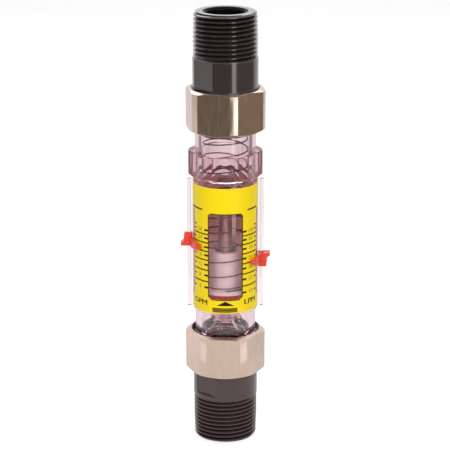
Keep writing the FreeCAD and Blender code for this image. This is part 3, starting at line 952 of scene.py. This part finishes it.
def gathered(parts):
    """One bmesh from many."""
    whole = bmesh.new()
    for part in parts:
        mesh = bpy.data.meshes.new("part")
        part.to_mesh(mesh)
        part.free()
        whole.from_mesh(mesh)
        bpy.data.meshes.remove(mesh)
    return whole


# Heights of the numbered rows, read as gallons a minute on the left and litres a minute on the right
left_rows = ((4, 69.67), (8, 74.87), (12, 79.6), (16, 83.67), (20, 87.24), (24, 91.1), (28, 94.57))
right_rows = ((10, 67.47), (25, 73.24), (40, 77.98), (55, 82.31), (70, 86.54), (85, 90.45), (100, 94.04))

# Unit marks, each with the azimuth and the height of its middle and how far it is stretched
unit_marks = (("GPM", -50.2, 62.95, 1.3), ("LPM", 50.3, 63.25, 1.35))


def scale_side(rows, sign):
    """Bars, lines with ticks, and numbers of one scale. sign is -1 on the left and 1 on the right."""
    def patch(azimuths, height, thickness):
        low, high = sorted(sign * azimuth for azimuth in azimuths)
        return printed_patch(low, high, height - thickness / 2, height + thickness / 2)

    bars = [patch(bar_azimuths, height, bar_thickness) for number, height in rows]
    lines = [patch(tick_azimuths, height, line_thickness) for number, height in rows]
    numbers = [
        printed_words(str(number), number_size, sign * number_azimuth, height, number_stretch)
        for number, height in rows]
    heights = [height for number, height in rows]
    for low, high in zip(heights, heights[1:]):
        lines.append(patch(line_azimuths, (low + high) / 2, line_thickness))
    above = heights[-1] + (heights[-1] - heights[-2]) / 2
    lines.append(patch(tick_azimuths, above, line_thickness))
    return bars, lines, numbers


def window_edge():
    """Painted shade of the film's cut edge: a dark line round the window, drawn like print, open at its
    rounded corners.
    """
    def reach(width):
        return math.degrees(math.asin(width / label_radius))

    half = window_width / 2
    near, far = reach(half), reach(half + window_shade_width)
    top = window_bottom + window_height
    sides = (window_bottom + window_low_corner, top - window_high_corner)
    low_reach, high_reach = reach(half - window_low_corner), reach(half - window_high_corner)
    return [
        printed_patch(-far, -near, *sides),
        printed_patch(near, far, *sides),
        printed_patch(-low_reach, low_reach, window_bottom - window_shade_width, window_bottom),
        printed_patch(-high_reach, high_reach, top, top + window_shade_width),
    ]


def make_print(black, olive, pale_olive):
    left_bars, left_lines, left_numbers = scale_side(left_rows, -1)
    right_bars, right_lines, right_numbers = scale_side(right_rows, 1)
    bold = left_bars + right_bars + [flow_arrow()]
    for words, azimuth, middle, stretch in unit_marks:
        bold.append(printed_words(words, unit_size, azimuth, middle, stretch, unit_bold))
    for azimuths in top_line_azimuths:
        bold.append(printed_patch(*azimuths, *top_line_heights))
    levels = [stripe_bottom + index * stripe_pitch for index in range(stripe_count)]
    stripes = [printed_patch(*stripe_azimuths, low, low + stripe_thickness) for low in levels]
    gaps = [
        printed_patch(*stripe_azimuths, low + stripe_thickness, high) for low, high in zip(levels, levels[1:])]
    for name, parts, colour in (
        ("scale_print", bold, black),
        # The olive lines also hold the painted shade round the window
        ("scale_lines", left_lines + right_lines + window_edge(), olive),
        ("scale_numbers", left_numbers + right_numbers, pale_olive),
        ("flow_stripes", stripes, olive),
        ("flow_stripe_gaps", gaps, pale_olive),
    ):
        place(gathered(parts), name, "meter", None, colour)


def make_spring(material):
    """Round wire spring: closed turns at both ends, and a ramp from each to the even pitch between them."""
    bottom = spring_shelf + spring_gap + wire_diameter / 2
    height = upper_ledge - spring_gap - wire_diameter / 2 - bottom
    open_turns = spring_turns - upper_closed - upper_ramp / 2 - lower_closed - lower_ramp / 2
    open_pitch = (height - closed_pitch * (spring_turns - open_turns)) / open_turns
    curve = bpy.data.curves.new("wire", "CURVE")
    curve.dimensions = "3D"
    curve.bevel_depth = wire_diameter / 2
    curve.bevel_resolution = wire_sides // 2 - 2
    curve.use_fill_caps = True
    line = curve.splines.new("POLY")
    steps = int(spring_turns * points_per_turn)
    line.points.add(steps)
    level = bottom
    for index in range(steps + 1):
        turn = index / points_per_turn
        angle = 2 * math.pi * turn - math.pi / 2
        x, y = spring_mean_radius * math.cos(angle), spring_mean_radius * math.sin(angle)
        line.points[index].co = (x, y, level, 1)
        middle = turn + 0.5 / points_per_turn
        rise = (middle - lower_closed) / lower_ramp
        fall = (spring_turns - upper_closed - middle) / upper_ramp
        share = max(0.0, min(1.0, rise, fall))
        level += (closed_pitch + (open_pitch - closed_pitch) * share) / points_per_turn
    wire = clean(evaluated_bmesh(linked("wire", curve)))
    piece = place(wire, "spring_wire", "meter", "return_spring", material, wire_smooth)
    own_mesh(piece)


def make_pointers(material):
    """Each set pointer is its CAD shape with its edges broken."""
    for node, rides in (("left_pointer", "left_set_pointer"), ("right_pointer", "right_set_pointer")):
        bm = bmesh.new()
        bm.from_mesh(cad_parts[node].data)
        bmesh.ops.scale(bm, verts=bm.verts, vec=(1 / MM, 1 / MM, 1 / MM))
        clean(bm)
        bmesh.ops.dissolve_limit(bm, angle_limit=math.radians(1), verts=bm.verts, edges=bm.edges)
        place(bm, "set_" + node, rides, node, material, pointer_smooth, pointer_bevel)


def dress_inner_pieces(finishes):
    """Carried-over nodes get their finish in their own material slots."""
    for material, nodes in finishes:
        for node in nodes:
            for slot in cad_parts[node].material_slots:
                slot.material = material


# Studio

def soft_box(name, azimuth, elevation, width, height, brightness):
    """Rectangular lamp aimed at the middle of the meter. Its brightness is that of its face."""
    lamp = bpy.data.lights.new(name, "AREA")
    lamp.shape = "RECTANGLE"
    lamp.size = width
    lamp.size_y = height
    lamp.energy = brightness * math.pi * width * height
    holder = linked(name, lamp)
    turn, rise = math.radians(azimuth - 90), math.radians(elevation)
    offset = Vector((math.cos(rise) * math.cos(turn), math.cos(rise) * math.sin(turn), math.sin(rise)))
    holder.location = meter_middle + offset * lamp_distance
    direction = meter_middle - holder.location
    holder.rotation_euler = direction.to_track_quat("-Z", "Y").to_euler()
    holder.visible_camera = False
    return holder


def glowing_material(name):
    """New material that does nothing but glow: its nodes, its links and its glow."""
    material, nodes, links, shader = shader_group(name)
    nodes.remove(shader)
    glow = nodes.new("ShaderNodeEmission")
    links.new(glow.outputs["Emission"], nodes["Material Output"].inputs["Surface"])
    return material, nodes, links, glow


def seen_share(nodes, links):
    """1 for what is seen straight, mirrored or through the clear body, and 0 for what only lights."""
    path = nodes.new("ShaderNodeLightPath").outputs
    outside = calculated(nodes, links, "MAXIMUM", path["Is Camera Ray"], path["Is Glossy Ray"])
    return calculated(nodes, links, "MAXIMUM", outside, path["Is Transmission Ray"])


def make_floor():
    """Pale sheet that shows white and keeps the meter's shadow. It is darker mirrored or through the body."""
    bm = bmesh.new()
    bmesh.ops.create_circle(bm, segments=64, radius=floor_radius, cap_ends=True)
    floor = mesh_object(bm, "floor")
    material, nodes, links, glow = glowing_material("pale_floor")
    paper = nodes.new("ShaderNodeBsdfDiffuse")
    feed(links, paper.inputs["Color"], (0.6, 0.6, 0.6))
    path = nodes.new("ShaderNodeLightPath").outputs
    mirrored = calculated(
        nodes, links, "SUBTRACT", path["Is Glossy Ray"], path["Is Transmission Ray"], clamp=True)
    in_mirror = rescaled(nodes, links, mirrored, 0.6, 0.36)
    through_body = rescaled(nodes, links, path["Is Transmission Ray"], 1.0, 0.82)
    links.new(product(nodes, links, in_mirror, through_body), glow.inputs["Strength"])
    whole = nodes.new("ShaderNodeAddShader")
    links.new(paper.outputs["BSDF"], whole.inputs[0])
    links.new(glow.outputs["Emission"], whole.inputs[1])
    choice = mixed(nodes, links, seen_share(nodes, links), paper.outputs["BSDF"], whole.outputs["Shader"])
    links.new(choice, nodes["Material Output"].inputs["Surface"])
    floor.data.materials.append(material)


def swept_sheet(name, profile, azimuths, material):
    """Sheet swept round the meter from its (radius, height) profile. It throws no light and no shadow."""
    low, high = azimuths
    bm = bmesh.new()
    corners = [bm.verts.new((radius, 0, height)) for radius, height in profile]
    edge = bm.edges.new(corners)
    spun(bm, low - 90)
    bmesh.ops.spin(
        bm, geom=corners + [edge], cent=(0, 0, 0), axis=(0, 0, 1), angle=math.radians(high - low),
        steps=max(2, round((high - low) / 5)), use_merge=high - low == 360)
    sheet = mesh_object(clean(bm), name)
    sheet.data.materials.append(material)
    sheet.visible_camera = False
    sheet.visible_diffuse = False
    sheet.visible_shadow = False
    sheet.visible_volume_scatter = False
    return sheet


def make_mirrored_card(name, azimuths, shade, reach):
    """Card on the floor, between two distances from the meter, that only mirrored light sees."""
    material, nodes, links, glow = glowing_material(name)
    feed(links, glow.inputs["Color"], shade)
    card = swept_sheet(name, [(distance, card_height) for distance in reach], azimuths, material)
    card.visible_transmission = False


def make_grey_sides(name, profile):
    """Sheet that only light through the clear body sees: white in front and behind, grey at both sides."""
    material, nodes, links, glow = glowing_material(name)
    direction = from_axis(nodes, links, "NORMALIZE")
    sideways = calculated(nodes, links, "ABSOLUTE", along(nodes, links, direction, "X"))
    side = rescaled(nodes, links, sideways, 0.0, 1.0, 0.5, 0.75)
    links.new(blended(nodes, links, side, (1, 1, 1), side_shade), glow.inputs["Color"])
    sheet = swept_sheet(name, profile, (-180, 180), material)
    sheet.visible_glossy = False


def make_cards():
    """Cards on the floor for the upper nut and, nearer by, the lower one, and the grey sides of the room."""
    far, near = (0.3, wall_distance), (0.1, 0.3)
    make_mirrored_card("left_dark_card", (-80, 23), (0.165, 0.141, 0.113), far)
    make_mirrored_card("bright_strip", (23, 37), (2.8, 2.8, 2.8), far)
    make_mirrored_card("right_dark_card", (37, 115), (0.27, 0.22, 0.17), far)
    make_mirrored_card("left_pale_card", (-150, -100), (1.06, 1.02, 1.06), near)
    make_mirrored_card("left_bright_strip", (-80, -52), (1.3, 1.3, 1.3), near)
    make_mirrored_card("right_bright_strip", (40, 68), (1.35, 1.35, 1.35), near)
    make_mirrored_card("right_pale_card", (90, 145), (0.86, 0.85, 0.87), near)
    make_grey_sides("grey_floor_sides", ((0.2, card_height), (wall_distance, card_height)))
    make_grey_sides("grey_wall_sides", ((wall_distance, card_height), (wall_distance, wall_height)))


def make_world():
    """Dim daylight in a room that shows white."""
    world = bpy.data.worlds.new("studio")
    bpy.context.scene.world = world
    world.use_nodes = True
    nodes, links = world.node_tree.nodes, world.node_tree.links
    room = nodes["Background"]
    feed(links, room.inputs["Color"], (0.93, 0.92, 0.91))
    room.inputs["Strength"].default_value = 0.55
    backdrop = nodes.new("ShaderNodeBackground")
    feed(links, backdrop.inputs["Color"], (1, 1, 1))
    backdrop.inputs["Strength"].default_value = 1.0
    choice = mixed(
        nodes, links, seen_share(nodes, links), room.outputs["Background"], backdrop.outputs["Background"])
    links.new(choice, nodes["World Output"].inputs["Surface"])


def make_camera():
    camera = bpy.data.cameras.new("camera")
    camera.sensor_width = 36
    camera.lens = camera.sensor_width * focus_pixels / picture_pixels
    camera.shift_x = shift_pixels / picture_pixels
    holder = linked("camera", camera)
    holder.location = camera_place
    holder.rotation_euler = (math.radians(90 - camera_pitch), 0, 0)
    bpy.context.scene.camera = holder


def make_lights():
    soft_box("key_box", azimuth=28, elevation=30, width=0.5, height=0.6, brightness=3.9)
    fill = soft_box("fill_box", azimuth=-38, elevation=16, width=0.5, height=0.7, brightness=2.1)
    fill.visible_glossy = False
    soft_box("rear_box", azimuth=180, elevation=45, width=0.8, height=0.4, brightness=2.4)


bpy.context.scene.view_settings.view_transform = "Standard"
make_camera()
make_world()
make_floor()
make_cards()
make_lights()

# Inlet and outlet are one plastic in two copies: the inlet's is lighter and warmer, painted light as from the
# floor below it, and the outlet's is darker and more polished
make_pipe_ends(
    dark_plastic(
        "near_black_plastic", bore=(0.07, 0.042, 0.047), dark=(0.051, 0.027, 0.03),
        light=(0.068, 0.038, 0.041), polish=0.15, rough_range=(0.17, 0.25),
        thread_range=(groove_shade_margin, pipe_thread_length - groove_shade_margin)),
    dark_plastic(
        "near_black_plastic_outlet", bore=(0.036, 0.028, 0.028), dark=(0.024, 0.017, 0.017),
        light=(0.032, 0.024, 0.024), polish=0.75, rough_range=(0.13, 0.19),
        thread_range=(
            upper_end.top - pipe_thread_length + groove_shade_margin, upper_end.top - groove_shade_margin)))
make_nuts(nickel())
make_body(clear_plastic("clear_pink_plastic", 1.55))
make_labels(yellow_film())
make_print(
    ink("black_ink", (0.012, 0.008, 0.003), (0.02, 0.013, 0.005)),
    ink("olive_ink", (0.06, 0.042, 0.004), (0.09, 0.065, 0.006)),
    ink("pale_olive_ink", (0.24, 0.18, 0.008), (0.32, 0.24, 0.012)))
make_spring(steel("spring_wire", (0.13, 0.105, 0.11)))
make_pointers(red_plastic("pointer_red", (0.78, 0.045, 0.02), (0.88, 0.065, 0.03)))
stop_top = Extent("travel_stop").top
dress_inner_pieces((
    (rubber(), ("lower_seal_ring", "upper_seal_ring")),
    (clear_plastic("clear_carrier_plastic", 1.22), ("cone_carrier",)),
    (pale_plastic(), ("piston", "spring_seat")),
    (steel("turned_stainless", (0.5, 0.47, 0.46)), ("carrier_snap_ring", "seat_snap_ring", "orifice_plate")),
    (steel("bright_screw_steel", (0.95, 0.88, 0.9), (0.5, 0.6)), ("cone_screw",)),
    (steel("dull_steel", (0.44, 0.29, 0.27), (0.42, 0.55)), ("metering_cone",)),
    # The travel stop has painted light on its top face
    (steel("stop_steel", (0.4, 0.25, 0.25), (0.42, 0.55), (0.95, 0.87, 0.9), stop_top), ("travel_stop",)),
    (red_plastic("ring_red", (0.42, 0.016, 0.006), (0.5, 0.026, 0.012)), ("indicator_ring",)),
))
